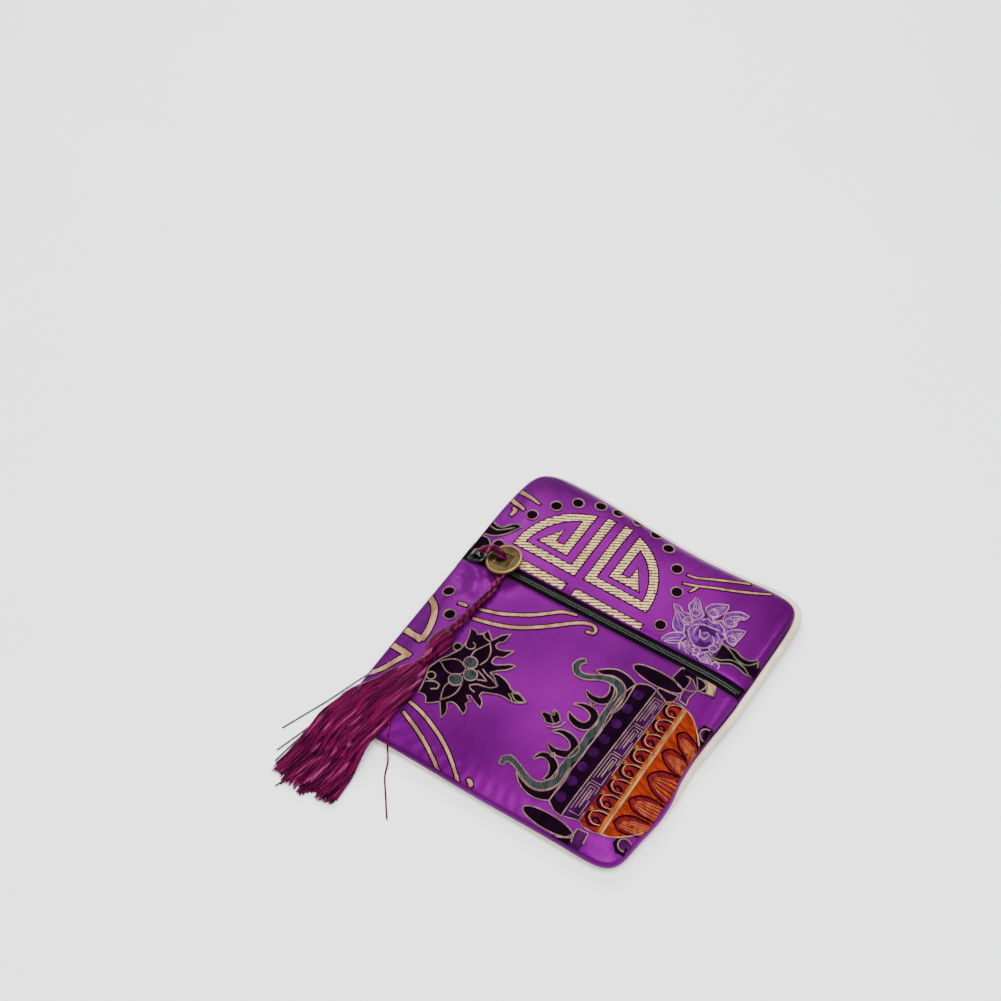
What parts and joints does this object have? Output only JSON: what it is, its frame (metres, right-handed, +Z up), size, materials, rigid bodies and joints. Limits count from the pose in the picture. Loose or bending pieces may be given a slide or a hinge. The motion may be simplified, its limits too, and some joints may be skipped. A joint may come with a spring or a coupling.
{
  "type": "silk brocade zip purse with coin charm and tassel",
  "caption": "Flat padded brocade purse with rounded corners and a piped rim, zipped across its face, with a coin charm and a tassel on the slider's cord.",
  "frame": {"origin": "middle of the purse's footprint on the surface that its back rests on", "axes": "+Z up out of the patterned face, +Y along the length towards the end with the zipper, +X to the right along the zipper, the slider at -X"},
  "size_m": [0.1258, 0.1615, 0.0168],
  "materials": {
    "purple_brocade": "satin weave silk with raised brocade figures in gold, slate, lilac, orange and dark plum",
    "cream_piping": "satin bias piping over a cord",
    "black_tape": "woven zipper tape",
    "black_coil": "nylon zipper coil",
    "black_slider": "black enamel",
    "aged_brass": "aged, worn bright on the rims",
    "plum_cord": "twisted rayon cord",
    "plum_tassel": "glossy rayon threads"
  },
  "bodies": {
    "root": {"back_panel": "purple_brocade", "front_panel_lower": "purple_brocade", "front_panel_upper": "purple_brocade", "piping": "cream_piping", "zipper_tape_lower": "black_tape", "zipper_tape_upper": "black_tape", "zipper_coil": "black_coil", "zipper_slider": "black_slider", "coin": "aged_brass", "tassel_cord": "plum_cord", "tassel": "plum_tassel"}
  },
  "joints": []
}
